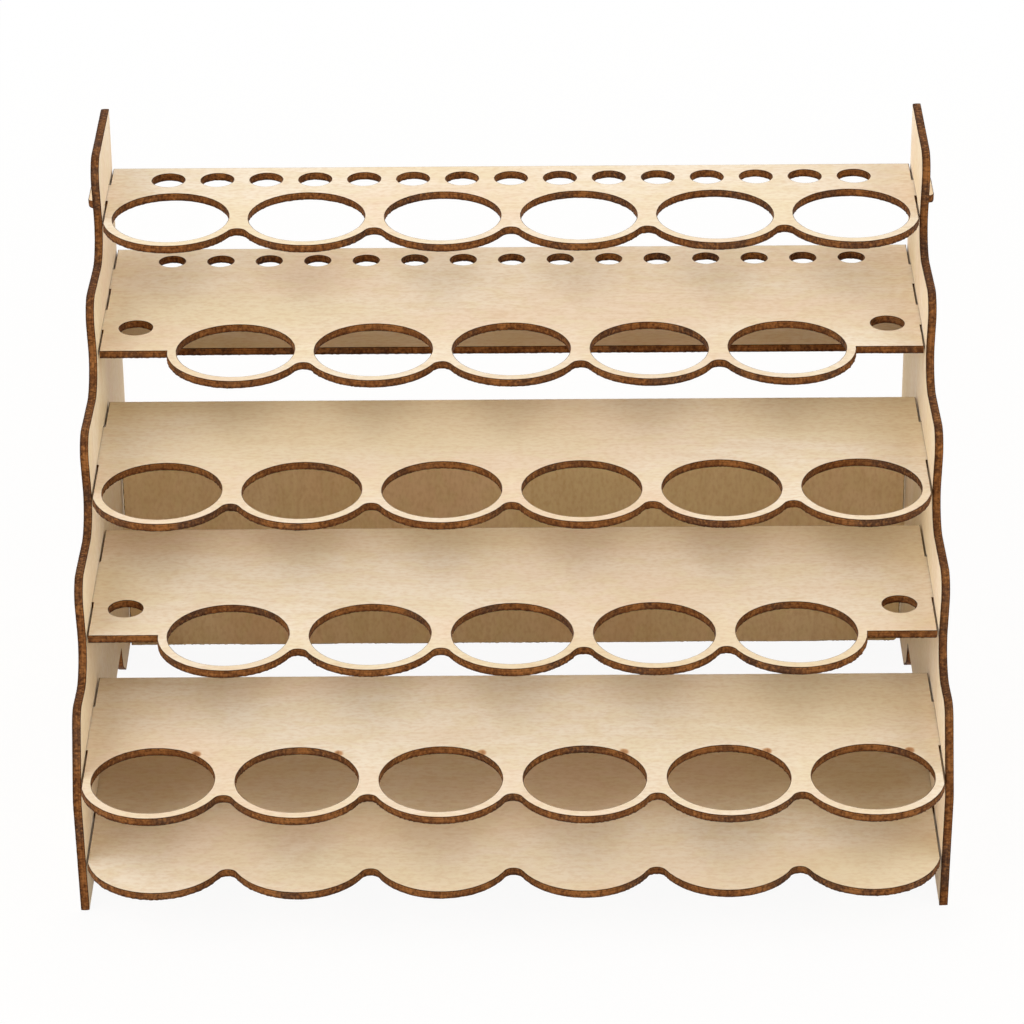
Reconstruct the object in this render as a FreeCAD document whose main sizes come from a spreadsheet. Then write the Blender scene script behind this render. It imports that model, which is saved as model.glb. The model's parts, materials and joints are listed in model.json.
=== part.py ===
import FreeCAD, Part
import math
import os

import Sketcher

# Hobby workstation organizer, in millimetres, of thin laser-cut plywood.
# Two stepped side panels carry five tiers of ringed bottle holes, a scalloped base shelf,
# a strip on which brushes stand and an upright back board. Every board has tabs that pass
# through slots in the panels. The origin is on the floor, midway across and midway from
# front to back. The front looks towards -Y.

# Sizes that can each be set by themselves
SIZES = (
    ("board_thickness", "2.5"),
    # Bottle holes, and the rings of wood round them
    ("bottle_hole_diameter", "35"),
    ("ring_wall", "3"),
    ("notch_radius", "2.8"),
    ("full_row_count", "6"),
    # Places of the rows: heights of the board tops, and steps from one row to the next
    ("base_top_height", "17.5"),
    ("tier_rise", "27.5"),
    ("end_row_step", "35"),
    ("middle_row_step", "37"),
    ("base_row_setback", "4"),
    # How far each board reaches behind its row
    ("tier_1_depth", "36.5"),
    ("tier_3_depth", "58"),
    ("tier_4_depth", "64"),
    ("tier_5_depth", "58"),
    ("base_depth", "72"),
    # Brush holes along the back, and the strip below them
    ("brush_hole_count", "15"),
    ("brush_row_inset", "18"),
    ("brush_hole_inset", "9.1"),
    ("upper_brush_hole_diameter", "10"),
    ("lower_brush_hole_diameter", "8"),
    ("brush_floor_drop", "16.5"),
    # Single holes beside the shorter rows
    ("end_hole_diameter", "10"),
    ("end_hole_inset", "10.2"),
    ("end_hole_setback", "15.7"),
    # Tabs, slots and hooks
    ("tab_length", "25"),
    ("shoulder_gap", "0.4"),
    ("slot_clearance", "0.1"),
    ("hook_neck_length", "12"),
    ("hook_overlap", "3"),
    ("hook_thickness", "2.9"),
    ("hook_radius", "1.8"),
    # Back board
    ("back_board_height", "64"),
    ("back_board_inset", "23.1"),
    ("back_board_bevel", "1.4"),
    # Side panel: steps, front edge and feet
    ("panel_headroom", "20"),
    ("nose_setback", "5.7"),
    ("nose_radius", "6.5"),
    ("corner_radius", "10"),
    ("riser_lean", "6.75"),
    ("tread_rise", "2.95"),
    ("tread_2_height", "15.7"),
    ("tread_3_height", "16.8"),
    ("tread_4_height", "16.4"),
    ("tread_5_height", "14.6"),
    ("lower_nose_setback", "9.8"),
    ("knee_projection", "2"),
    ("knee_drop", "6.1"),
    ("front_foot_setback", "1.6"),
    ("front_foot_length", "60.4"),
    ("rear_foot_length", "41"),
    ("toe_reach", "8"),
    ("toe_height", "5.5"),
    ("toe_radius", "5"),
    ("arch_lean", "3.5"),
    ("arch_height", "14.5"),
)

# Sizes and places that follow from them
LAYOUT = (
    ("hole_pitch", "=sizes.bottle_hole_diameter + 2 * sizes.ring_wall"),
    ("ring_radius", "=hole_pitch / 2"),
    ("offset_row_count", "=sizes.full_row_count - 1"),
    ("full_row_first_x", "=-(sizes.full_row_count - 1) * hole_pitch / 2"),
    ("offset_row_first_x", "=-(offset_row_count - 1) * hole_pitch / 2"),
    ("inner_half_width", "=sizes.full_row_count * hole_pitch / 2"),
    ("outer_half_width", "=inner_half_width + sizes.board_thickness"),
    ("deck_half_width", "=inner_half_width - sizes.shoulder_gap"),
    # The lowest row's rings and the back edge of the top tier are the front and the rear
    ("rear_y", "=(ring_radius + 2 * (sizes.end_row_step + sizes.middle_row_step) + sizes.tier_1_depth) / 2"),
    ("row_1_y", "=rear_y - sizes.tier_1_depth"),
    ("row_2_y", "=row_1_y - sizes.end_row_step"),
    ("row_3_y", "=row_2_y - sizes.middle_row_step"),
    ("row_4_y", "=row_3_y - sizes.middle_row_step"),
    ("row_5_y", "=row_4_y - sizes.end_row_step"),
    ("base_row_y", "=row_5_y + sizes.base_row_setback"),
    # Undersides of the boards, which rest on the floors of their slots
    ("base_z", "=sizes.base_top_height - sizes.board_thickness"),
    ("tier_5_z", "=base_z + sizes.tier_rise"),
    ("tier_4_z", "=tier_5_z + sizes.tier_rise"),
    ("tier_3_z", "=tier_4_z + sizes.tier_rise"),
    ("tier_2_z", "=tier_3_z + sizes.tier_rise"),
    ("tier_1_z", "=tier_2_z + sizes.tier_rise"),
    ("brush_floor_z", "=tier_2_z - sizes.brush_floor_drop"),
    ("tier_2_depth", "=sizes.tier_1_depth + sizes.end_row_step"),
    # Brush holes are spread evenly between the panels, and stand in one line from tier to tier
    ("brush_first_x", "=sizes.brush_row_inset - inner_half_width"),
    ("brush_hole_pitch", "=-2 * brush_first_x / (sizes.brush_hole_count - 1)"),
    ("tier_1_brush_y", "=sizes.tier_1_depth - sizes.brush_hole_inset"),
    ("tier_2_brush_y", "=tier_2_depth - sizes.brush_hole_inset"),
    ("end_hole_x", "=inner_half_width - sizes.end_hole_inset"),
    # Hooks outside the panels
    ("hook_inner_x", "=outer_half_width + sizes.slot_clearance"),
    ("hook_outer_x", "=hook_inner_x + sizes.hook_thickness"),
    ("hook_neck_front", "=(sizes.tier_1_depth - sizes.hook_neck_length) / 2"),
    ("hook_neck_back", "=hook_neck_front + sizes.hook_neck_length"),
    ("hook_back", "=hook_neck_back + sizes.hook_overlap"),
    # Back board
    ("back_board_y", "=rear_y - sizes.back_board_inset - sizes.board_thickness"),
    # Side panel
    ("panel_height", "=tier_1_z + sizes.board_thickness + sizes.panel_headroom"),
    ("nose_step", "=(sizes.end_row_step + sizes.middle_row_step) / 2"),
    ("nose_1_y", "=row_1_y - sizes.nose_setback"),
    ("lower_nose_y", "=row_5_y + sizes.lower_nose_setback"),
    ("knee_y", "=row_5_y - sizes.knee_projection"),
    ("knee_z", "=tier_5_z + sizes.board_thickness - sizes.knee_drop"),
    ("front_foot_y", "=row_5_y + sizes.front_foot_setback"),
    ("front_foot_end_y", "=front_foot_y + sizes.front_foot_length"),
    ("rear_foot_y", "=rear_y - sizes.rear_foot_length"),
    # Each foot curls up to a blunt toe, from which a side of the arch rises more steeply
    ("front_toe_y", "=front_foot_end_y + sizes.toe_reach"),
    ("rear_toe_y", "=rear_foot_y - sizes.toe_reach"),
    ("arch_front_y", "=front_toe_y + sizes.arch_lean"),
    ("arch_rear_y", "=rear_toe_y - sizes.arch_lean"),
    ("corner_2_z", "=tier_2_z + sizes.board_thickness + sizes.tread_2_height"),
    ("corner_3_z", "=tier_3_z + sizes.board_thickness + sizes.tread_3_height"),
    ("corner_4_z", "=tier_4_z + sizes.board_thickness + sizes.tread_4_height"),
    ("corner_5_z", "=tier_5_z + sizes.board_thickness + sizes.tread_5_height"),
)

# Boards with one tab in the middle of each side edge, and how long that edge is
MIDDLE_TABS = (
    ("tier_3", "sizes.tier_3_depth"),
    ("tier_4", "sizes.tier_4_depth"),
    ("tier_5", "sizes.tier_5_depth"),
    ("base", "sizes.base_depth"),
    ("brush_floor", "sizes.tier_1_depth"),
    ("back_board", "sizes.back_board_height"),
)

# The second tier's side edge is shared in fifths, and its tabs are the second and the fourth
SECOND_TIER_TABS = (
    ("tier_2_front_tab_start", "=tier_2_depth / 5"),
    ("tier_2_front_tab_end", "=tier_2_depth * 2 / 5"),
    ("tier_2_rear_tab_start", "=tier_2_depth * 3 / 5"),
    ("tier_2_rear_tab_end", "=tier_2_depth * 4 / 5"),
)

# How near two points have to be to count as one
TOUCHING = 1e-6


def middle_tab_rows():
    """Rows of the layout that say where each middle tab starts and ends along its edge."""
    rows = []
    for board, edge in MIDDLE_TABS:
        rows.append((board + "_tab_start", f"=({edge} - sizes.tab_length) / 2"))
        rows.append((board + "_tab_end", f"={board}_tab_start + sizes.tab_length"))
    return tuple(rows)


def fill_sheet(name, rows):
    """Spreadsheet with a plain name, a value and an alias on each row."""
    sheet = document.addObject("Spreadsheet::Sheet", name)
    for number, (alias, content) in enumerate(rows, start=1):
        sheet.set(f"A{number}", alias.replace("_", " "))
        sheet.set(f"B{number}", content)
        sheet.setAlias(f"B{number}", alias)
    document.recompute()
    return sheet


def new_board(label, **place):
    """Body of one board, whose place along x, y and z follows the sheets."""
    body = document.addObject("PartDesign::Body", label)
    body.Label = label
    for axis, expression in place.items():
        body.setExpression("Placement.Base." + axis, expression)
    return body


def own_plane(body, role):
    """One of the body's own origin planes."""
    return next(item for item in body.Origin.OriginFeatures if item.Role == role)


def new_sketch(body, name, role="XY_Plane"):
    """Empty sketch on one of the body's own planes."""
    sketch = body.newObject("Sketcher::SketchObject", name)
    sketch.AttachmentSupport = [(own_plane(body, role), "")]
    sketch.MapMode = "FlatFace"
    return sketch


def dimension(sketch, kind, references, drawn, expression):
    """Dimension of drawn geometry, bound to an expression on the sheets."""
    index = sketch.addConstraint(Sketcher.Constraint(kind, *references, drawn))
    sketch.setExpression(f"Constraints[{index}]", expression)


def place_point(sketch, geometry, point, across, along):
    """Ties a point of the geometry to its two distances from the sketch's origin."""
    drawn = sketch.getPoint(geometry, point)
    dimension(sketch, "DistanceX", (-1, 1, geometry, point), drawn.x, across)
    dimension(sketch, "DistanceY", (-1, 1, geometry, point), drawn.y, along)


def polygon(sketch, corners):
    """Closed polygon through corners that are pairs of expressions.

    It is drawn round a unit circle, and its dimensions take it to its size. Returns its lines,
    each of which starts at the corner of the same number.
    """
    count = len(corners)
    turns = [2 * math.pi * number / count for number in range(count)]
    drawn = [FreeCAD.Vector(math.cos(turn), math.sin(turn), 0) for turn in turns]
    lines = []
    for number in range(count):
        edge = Part.LineSegment(drawn[number], drawn[(number + 1) % count])
        lines.append(sketch.addGeometry(edge, False))
    for number, line in enumerate(lines):
        following = lines[(number + 1) % count]
        sketch.addConstraint(Sketcher.Constraint("Coincident", line, 2, following, 1))
        place_point(sketch, line, 1, *corners[number])
    return lines


def rectangle(sketch, left, right, low, high):
    """Rectangle between four expressions."""
    polygon(sketch, ((left, low), (right, low), (right, high), (left, high)))


def circle(sketch, across, along, diameter):
    """Circle whose centre and diameter are expressions."""
    drawn = Part.Circle(FreeCAD.Vector(0, 0, 0), FreeCAD.Vector(0, 0, 1), 1)
    geometry = sketch.addGeometry(drawn, False)
    place_point(sketch, geometry, 3, across, along)
    dimension(sketch, "Diameter", (geometry,), 2 * drawn.Radius, diameter)


def finish(body, feature):
    """Makes a feature the body's tip and sees that it changed the body."""
    body.Tip = feature
    document.recompute()
    base = feature.BaseFeature
    before = base.Shape.Volume if base else 0
    if feature.Shape.isNull() or math.isclose(feature.Shape.Volume, before):
        raise RuntimeError(f"{feature.Label} changes nothing on {body.Label}")
    return feature


def pad(body, sketch, name, backwards=False):
    """Wood of the board's thickness on a sketch."""
    feature = body.newObject("PartDesign::Pad", name)
    feature.Profile = sketch
    feature.Reversed = backwards
    feature.setExpression("Length", "sizes.board_thickness")
    return finish(body, feature)


def cut_through(body, sketch, name):
    """Cut through a board that lies on the upper side of the sketch."""
    feature = body.newObject("PartDesign::Pocket", name)
    feature.Profile = sketch
    feature.Type = "ThroughAll"
    feature.Reversed = True
    return finish(body, feature)


def repeat_across(body, original, name, step, count):
    """Row of copies of a feature along the board."""
    feature = body.newObject("PartDesign::LinearPattern", name)
    feature.Originals = [original]
    feature.Direction = (original.Profile[0], ["H_Axis"])
    feature.Mode = "Spacing"
    feature.setExpression("Offset", step)
    feature.setExpression("Occurrences", count)
    return finish(body, feature)


def mirror_across(body, original, name):
    """Copy of a feature on the other side of the board's middle."""
    feature = body.newObject("PartDesign::Mirrored", name)
    feature.Originals = [original]
    feature.MirrorPlane = (own_plane(body, "YZ_Plane"), [""])
    return finish(body, feature)


def square_edges(shape, axis, points):
    """Names of the edges that run along the axis from one of the points."""
    names = []
    for number, edge in enumerate(shape.Edges, start=1):
        ends = [vertex.Point for vertex in edge.Vertexes]
        along = ends[-1] - ends[0]
        if along.Length < TOUCHING or along.cross(axis).Length > TOUCHING * along.Length:
            continue
        if any(end.distanceToPoint(point) < TOUCHING for end in ends for point in points):
            names.append(f"Edge{number}")
    return names


def dress_edges(body, kind, name, edges, size_property, size):
    """Fillet or chamfer of a body's edges."""
    base = body.Tip
    feature = body.newObject(kind, name)
    feature.Base = (base, edges)
    feature.setExpression(size_property, size)
    return finish(body, feature)


def ring_arcs(sketch, count, first_alias, end_turn):
    """Front of a board: an arc round each hole of the row and a small arc in each notch between.

    The row is the sketch's horizontal axis. A notch's centre lies in front of it, as far from the
    two rings beside it as makes its arc tangent to both. The outermost arcs start end_turn below
    the row. Returns the rings, from left to right.
    """
    first_x = getattr(layout, first_alias)
    pitch = layout.hole_pitch
    radius = layout.ring_radius
    notch_radius = sizes.notch_radius
    lean = math.acos(pitch / 2 / (radius + notch_radius))
    notch_y = -(radius + notch_radius) * math.sin(lean)
    upward = FreeCAD.Vector(0, 0, 1)
    rings = []
    notches = []
    for number in range(count):
        centre = FreeCAD.Vector(first_x + number * pitch, 0, 0)
        start = math.pi + (end_turn if number == 0 else lean)
        end = 2 * math.pi - (end_turn if number == count - 1 else lean)
        ring = Part.ArcOfCircle(Part.Circle(centre, upward, radius), start, end)
        rings.append(sketch.addGeometry(ring, False))
        sketch.addConstraint(Sketcher.Constraint("PointOnObject", rings[-1], 3, -1))
    for left, right in zip(rings, rings[1:]):
        centre = FreeCAD.Vector(sketch.getPoint(left, 3).x + pitch / 2, notch_y, 0)
        notch = Part.ArcOfCircle(Part.Circle(centre, upward, notch_radius), lean, math.pi - lean)
        notches.append(sketch.addGeometry(notch, False))
        sketch.addConstraint(Sketcher.Constraint("Tangent", left, 2, notches[-1], 2))
        sketch.addConstraint(Sketcher.Constraint("Tangent", notches[-1], 1, right, 1))
        dimension(sketch, "DistanceX", (left, 3, right, 3), pitch, "layout.hole_pitch")
        sketch.addConstraint(Sketcher.Constraint("Equal", rings[0], right))
    dimension(sketch, "DistanceX", (-1, 1, rings[0], 3), first_x, "layout." + first_alias)
    dimension(sketch, "Radius", (rings[0],), radius, "layout.ring_radius")
    dimension(sketch, "Radius", (notches[0],), notch_radius, "sizes.notch_radius")
    for notch in notches[1:]:
        sketch.addConstraint(Sketcher.Constraint("Equal", notches[0], notch))
    return rings


def board_sides(sketch, left_start, right_start, depth):
    """Straight sides and back of a board, between two front points. Returns left, back and right."""
    back_left = FreeCAD.Vector(left_start.x, depth, 0)
    back_right = FreeCAD.Vector(right_start.x, depth, 0)
    left = sketch.addGeometry(Part.LineSegment(left_start, back_left), False)
    back = sketch.addGeometry(Part.LineSegment(back_left, back_right), False)
    right = sketch.addGeometry(Part.LineSegment(back_right, right_start), False)
    sketch.addConstraint(Sketcher.Constraint("Coincident", left, 2, back, 1))
    sketch.addConstraint(Sketcher.Constraint("Coincident", back, 2, right, 1))
    sketch.addConstraint(Sketcher.Constraint("Vertical", left))
    sketch.addConstraint(Sketcher.Constraint("Vertical", right))
    sketch.addConstraint(Sketcher.Constraint("Symmetric", back, 1, back, 2, -2))
    return left, back, right


def full_row_outline(body, depth, depth_alias):
    """Outline of a board whose rings fill its whole width, cut off by its straight sides."""
    sketch = new_sketch(body, "outline")
    half_width = layout.deck_half_width
    end_turn = math.acos((half_width + layout.full_row_first_x) / layout.ring_radius)
    rings = ring_arcs(sketch, sizes.full_row_count, "full_row_first_x", end_turn)
    front_y = -layout.ring_radius * math.sin(end_turn)
    left_start = FreeCAD.Vector(-half_width, front_y, 0)
    right_start = FreeCAD.Vector(half_width, front_y, 0)
    left, back, right = board_sides(sketch, left_start, right_start, depth)
    sketch.addConstraint(Sketcher.Constraint("Coincident", left, 1, rings[0], 1))
    sketch.addConstraint(Sketcher.Constraint("Coincident", right, 2, rings[-1], 2))
    place_point(sketch, back, 2, "layout.deck_half_width", depth_alias)
    return sketch


def offset_row_outline(body, depth, depth_alias):
    """Outline of a board with one ring fewer and a straight shoulder on the row at each end."""
    sketch = new_sketch(body, "outline")
    rings = ring_arcs(sketch, layout.offset_row_count, "offset_row_first_x", 0)
    left_start = FreeCAD.Vector(-layout.deck_half_width, 0, 0)
    right_start = FreeCAD.Vector(layout.deck_half_width, 0, 0)
    left, back, right = board_sides(sketch, left_start, right_start, depth)
    ring_left = sketch.getPoint(rings[0], 1)
    ring_right = sketch.getPoint(rings[-1], 2)
    left_shoulder = sketch.addGeometry(Part.LineSegment(left_start, ring_left), False)
    right_shoulder = sketch.addGeometry(Part.LineSegment(ring_right, right_start), False)
    sketch.addConstraint(Sketcher.Constraint("Coincident", left_shoulder, 2, rings[0], 1))
    sketch.addConstraint(Sketcher.Constraint("Coincident", right_shoulder, 1, rings[-1], 2))
    for shoulder in (left_shoulder, right_shoulder):
        sketch.addConstraint(Sketcher.Constraint("PointOnObject", shoulder, 1, -1))
        sketch.addConstraint(Sketcher.Constraint("PointOnObject", shoulder, 2, -1))
    sketch.addConstraint(Sketcher.Constraint("Coincident", left, 1, left_shoulder, 1))
    sketch.addConstraint(Sketcher.Constraint("Coincident", right, 2, right_shoulder, 2))
    place_point(sketch, back, 2, "layout.deck_half_width", depth_alias)
    return sketch


def bottle_holes(body, first_x, count):
    """Row of bottle holes, each in the middle of its ring."""
    sketch = new_sketch(body, "bottle_hole_sketch")
    circle(sketch, first_x, "0", "sizes.bottle_hole_diameter")
    hole = cut_through(body, sketch, "bottle_hole")
    repeat_across(body, hole, "bottle_holes", "layout.hole_pitch", count)


def brush_holes(body, along, diameter):
    """Row of small holes for brush handles near the back edge."""
    sketch = new_sketch(body, "brush_hole_sketch")
    circle(sketch, "layout.brush_first_x", along, diameter)
    hole = cut_through(body, sketch, "brush_hole")
    repeat_across(body, hole, "brush_holes", "layout.brush_hole_pitch", "sizes.brush_hole_count")


def end_holes(body):
    """Single hole behind each shoulder of a shorter row."""
    sketch = new_sketch(body, "end_hole_sketch")
    circle(sketch, "layout.end_hole_x", "sizes.end_hole_setback", "sizes.end_hole_diameter")
    mirror_across(body, cut_through(body, sketch, "end_hole"), "end_holes")


def side_tabs(body, stretches, role="XY_Plane", backwards=False):
    """Tabs on both side edges, as long as the panels are thick, between pairs of expressions."""
    sketch = new_sketch(body, "tab_sketch", role)
    for start, end in stretches:
        rectangle(sketch, "layout.deck_half_width", "layout.outer_half_width", start, end)
    tab = pad(body, sketch, "tab", backwards)
    mirror_across(body, tab, "tabs")


def middle_tab(board):
    """Where a board's middle tab starts and ends along its edge."""
    return ((f"layout.{board}_tab_start", f"layout.{board}_tab_end"),)


def make_top_tier_shelf():
    """Top tier: a full row of bottle holes, brush holes, and hooked tabs."""
    body = new_board("top_tier_shelf", y="layout.row_1_y", z="layout.tier_1_z")
    outline = full_row_outline(body, sizes.tier_1_depth, "sizes.tier_1_depth")
    pad(body, outline, "board")
    bottle_holes(body, "layout.full_row_first_x", "sizes.full_row_count")
    brush_holes(body, "layout.tier_1_brush_y", "sizes.upper_brush_hole_diameter")
    sketch = new_sketch(body, "hook_sketch")
    polygon(sketch, (
        ("layout.deck_half_width", "layout.hook_neck_front"),
        ("layout.hook_outer_x", "layout.hook_neck_front"),
        ("layout.hook_outer_x", "layout.hook_back"),
        ("layout.hook_inner_x", "layout.hook_back"),
        ("layout.hook_inner_x", "layout.hook_neck_back"),
        ("layout.deck_half_width", "layout.hook_neck_back"),
    ))
    hook = pad(body, sketch, "hook")
    mirror_across(body, hook, "hooks")
    outer_corners = [
        FreeCAD.Vector(side * layout.hook_outer_x, end, 0)
        for side in (-1, 1)
        for end in (layout.hook_neck_front, layout.hook_back)
    ]
    edges = square_edges(body.Tip.Shape, FreeCAD.Vector(0, 0, 1), outer_corners)
    dress_edges(body, "PartDesign::Fillet", "hook_rounding", edges, "Radius", "sizes.hook_radius")
    return body


def make_second_tier_shelf():
    """Second tier: an offset row of bottle holes, smaller brush holes and two tabs on each side."""
    body = new_board("second_tier_shelf", y="layout.row_2_y", z="layout.tier_2_z")
    pad(body, offset_row_outline(body, layout.tier_2_depth, "layout.tier_2_depth"), "board")
    bottle_holes(body, "layout.offset_row_first_x", "layout.offset_row_count")
    brush_holes(body, "layout.tier_2_brush_y", "sizes.lower_brush_hole_diameter")
    end_holes(body)
    side_tabs(body, (
        ("layout.tier_2_front_tab_start", "layout.tier_2_front_tab_end"),
        ("layout.tier_2_rear_tab_start", "layout.tier_2_rear_tab_end"),
    ))
    return body


def make_third_tier_shelf():
    """Third tier: a full row of bottle holes."""
    body = new_board("third_tier_shelf", y="layout.row_3_y", z="layout.tier_3_z")
    pad(body, full_row_outline(body, sizes.tier_3_depth, "sizes.tier_3_depth"), "board")
    bottle_holes(body, "layout.full_row_first_x", "sizes.full_row_count")
    side_tabs(body, middle_tab("tier_3"))
    return body


def make_fourth_tier_shelf():
    """Fourth tier: an offset row of bottle holes and a single hole at each end."""
    body = new_board("fourth_tier_shelf", y="layout.row_4_y", z="layout.tier_4_z")
    pad(body, offset_row_outline(body, sizes.tier_4_depth, "sizes.tier_4_depth"), "board")
    bottle_holes(body, "layout.offset_row_first_x", "layout.offset_row_count")
    end_holes(body)
    side_tabs(body, middle_tab("tier_4"))
    return body


def make_fifth_tier_shelf():
    """Fifth tier: a full row of bottle holes, the frontmost."""
    body = new_board("fifth_tier_shelf", y="layout.row_5_y", z="layout.tier_5_z")
    pad(body, full_row_outline(body, sizes.tier_5_depth, "sizes.tier_5_depth"), "board")
    bottle_holes(body, "layout.full_row_first_x", "sizes.full_row_count")
    side_tabs(body, middle_tab("tier_5"))
    return body


def make_base_shelf():
    """Base: a scalloped board without holes, on which the fifth tier's bottles stand."""
    body = new_board("base_shelf", y="layout.base_row_y", z="layout.base_z")
    pad(body, full_row_outline(body, sizes.base_depth, "sizes.base_depth"), "board")
    side_tabs(body, middle_tab("base"))
    return body


def make_brush_floor_shelf():
    """Plain strip below the second tier, as deep as the top tier behind its row."""
    body = new_board("brush_floor_shelf", y="layout.row_1_y", z="layout.brush_floor_z")
    sketch = new_sketch(body, "outline")
    rectangle(sketch, "-layout.deck_half_width", "layout.deck_half_width", "0", "sizes.tier_1_depth")
    pad(body, sketch, "board")
    side_tabs(body, middle_tab("brush_floor"))
    return body


def make_back_board():
    """Upright board between the panels, on the floor, with one lower corner taken off."""
    body = new_board("back_board", y="layout.back_board_y")
    sketch = new_sketch(body, "outline", "XZ_Plane")
    rectangle(sketch, "-layout.deck_half_width", "layout.deck_half_width", "0", "sizes.back_board_height")
    pad(body, sketch, "board", backwards=True)
    side_tabs(body, middle_tab("back_board"), "XZ_Plane", backwards=True)
    corner = FreeCAD.Vector(layout.deck_half_width, 0, 0)
    edges = square_edges(body.Tip.Shape, FreeCAD.Vector(0, 1, 0), [corner])
    dress_edges(body, "PartDesign::Chamfer", "bevel", edges, "Size", "sizes.back_board_bevel")
    return body


def panel_corners():
    """Corners of the side panel seen from its side, as kind, distance back and height.

    From the top the front edge comes down in four steps. Each riser leans back on its way down
    to a hollow corner, and each tread rises towards the next nose. Below the last tread a
    sloped front reaches the knee and then the front foot. An arch parts the two feet, each of
    which ends in a blunt toe.
    """
    corners = [("sharp", "layout.rear_y", "layout.panel_height")]
    nose_z = "layout.panel_height"
    for step, tier in enumerate((2, 3, 4, 5)):
        nose_y = f"layout.nose_1_y - {step} * layout.nose_step"
        corners.append(("nose", nose_y, nose_z))
        corners.append(("corner", nose_y + " + sizes.riser_lean", f"layout.corner_{tier}_z"))
        nose_z = f"layout.corner_{tier}_z + sizes.tread_rise"
    corners += [
        ("nose", "layout.lower_nose_y", nose_z),
        ("nose", "layout.knee_y", "layout.knee_z"),
        ("sharp", "layout.front_foot_y", "0"),
        ("sharp", "layout.front_foot_end_y", "0"),
        ("toe", "layout.front_toe_y", "sizes.toe_height"),
        ("sharp", "layout.arch_front_y", "sizes.arch_height"),
        ("sharp", "layout.arch_rear_y", "sizes.arch_height"),
        ("toe", "layout.rear_toe_y", "sizes.toe_height"),
        ("sharp", "layout.rear_foot_y", "0"),
        ("sharp", "layout.rear_y", "0"),
    ]
    return corners


def panel_slots():
    """Slots of the side panel: front, back, floor and ceiling of each.

    A board's tab rests on the floor of its slot, with a clearance before, behind and above.
    The top tier's slot is longer at the front, so that the hook passes and then slides back.
    """
    stretches = [("tier_1", "row_1_y", "hook_neck_front - sizes.hook_overlap", "hook_neck_back")]
    for place in ("front", "rear"):
        stretches.append(("tier_2", "row_2_y", f"tier_2_{place}_tab_start", f"tier_2_{place}_tab_end"))
    for board, row in (
        ("tier_3", "row_3_y"),
        ("tier_4", "row_4_y"),
        ("tier_5", "row_5_y"),
        ("base", "base_row_y"),
        ("brush_floor", "row_1_y"),
    ):
        stretches.append((board, row, f"{board}_tab_start", f"{board}_tab_end"))
    slots = []
    for board, row, start, end in stretches:
        slots.append((
            f"layout.{row} + layout.{start} - sizes.slot_clearance",
            f"layout.{row} + layout.{end} + sizes.slot_clearance",
            f"layout.{board}_z",
            f"layout.{board}_z + sizes.board_thickness + sizes.slot_clearance",
        ))
    slots.append((
        "layout.back_board_y - sizes.slot_clearance",
        "layout.back_board_y + sizes.board_thickness + sizes.slot_clearance",
        "layout.back_board_tab_start",
        "layout.back_board_tab_end + sizes.slot_clearance",
    ))
    return slots


def make_side_panel(label, inner_face_x):
    """One side panel, whose thickness runs in the direction of +X from its left face."""
    body = new_board(label, x=inner_face_x)
    outline = new_sketch(body, "outline", "YZ_Plane")
    corners = panel_corners()
    lines = polygon(outline, [(back, height) for kind, back, height in corners])
    pad(body, outline, "board")
    for kind in ("nose", "corner", "toe"):
        points = []
        for line, corner in zip(lines, corners):
            if corner[0] == kind:
                place = outline.getPoint(line, 1)
                points.append(FreeCAD.Vector(0, place.x, place.y))
        edges = square_edges(body.Tip.Shape, FreeCAD.Vector(1, 0, 0), points)
        radius = f"sizes.{kind}_radius"
        dress_edges(body, "PartDesign::Fillet", kind + "_rounding", edges, "Radius", radius)
    slots = new_sketch(body, "slot_sketch", "YZ_Plane")
    for slot in panel_slots():
        rectangle(slots, *slot)
    cut_through(body, slots, "slots")
    return body


def check_document():
    """Stops if an object of the document failed to recompute."""
    for item in document.Objects:
        if "Invalid" in item.State or "Error" in item.State:
            raise RuntimeError(f"{item.Label} is {item.State}")


def write_board(body):
    """Writes one board's shape, once it is a single valid solid."""
    shape = body.Shape
    if shape.isNull() or not shape.isValid() or len(shape.Solids) != 1:
        raise RuntimeError(f"{body.Label} is not one valid solid")
    shape.exportStep(os.path.join("parts", body.Label + ".step"))
    box = shape.BoundBox
    print(
        f"{body.Label}: volume {shape.Volume:.1f},"
        f" x {box.XMin:.2f} to {box.XMax:.2f},"
        f" y {box.YMin:.2f} to {box.YMax:.2f},"
        f" z {box.ZMin:.2f} to {box.ZMax:.2f}"
    )


document = FreeCAD.newDocument("workstation_organizer")
sizes = fill_sheet("sizes", SIZES)
layout = fill_sheet("layout", LAYOUT + SECOND_TIER_TABS + middle_tab_rows())

boards = [
    make_side_panel("side_panel_left", "-layout.outer_half_width"),
    make_side_panel("side_panel_right", "layout.inner_half_width"),
    make_top_tier_shelf(),
    make_second_tier_shelf(),
    make_third_tier_shelf(),
    make_fourth_tier_shelf(),
    make_fifth_tier_shelf(),
    make_base_shelf(),
    make_brush_floor_shelf(),
    make_back_board(),
]

document.recompute()
check_document()
os.makedirs("parts", exist_ok=True)
for board in boards:
    write_board(board)
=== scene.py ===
"""Looks of a plywood workstation organizer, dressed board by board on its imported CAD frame.

Every board is one sheet of basswood plywood, cut out by laser. A board's piece is worked out from
its CAD outline: the flat faces keep their place, and the cut walls between them are a profile
carried along the outline, with the small worn arris, the crumbled lower edge and the burnt colour
that a laser leaves. Lengths are in metres, and a name that ends in mm is in millimetres.
"""

import json
import logging
import math
from dataclasses import dataclass
from enum import Enum
from typing import Any, Mapping, Sequence

import bpy
import numpy as np
from bpy.types import Material, Mesh, Node, NodeSocket, NodeTree, Object
from mathutils import Matrix, Vector
from mathutils.geometry import delaunay_2d_cdt


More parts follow.
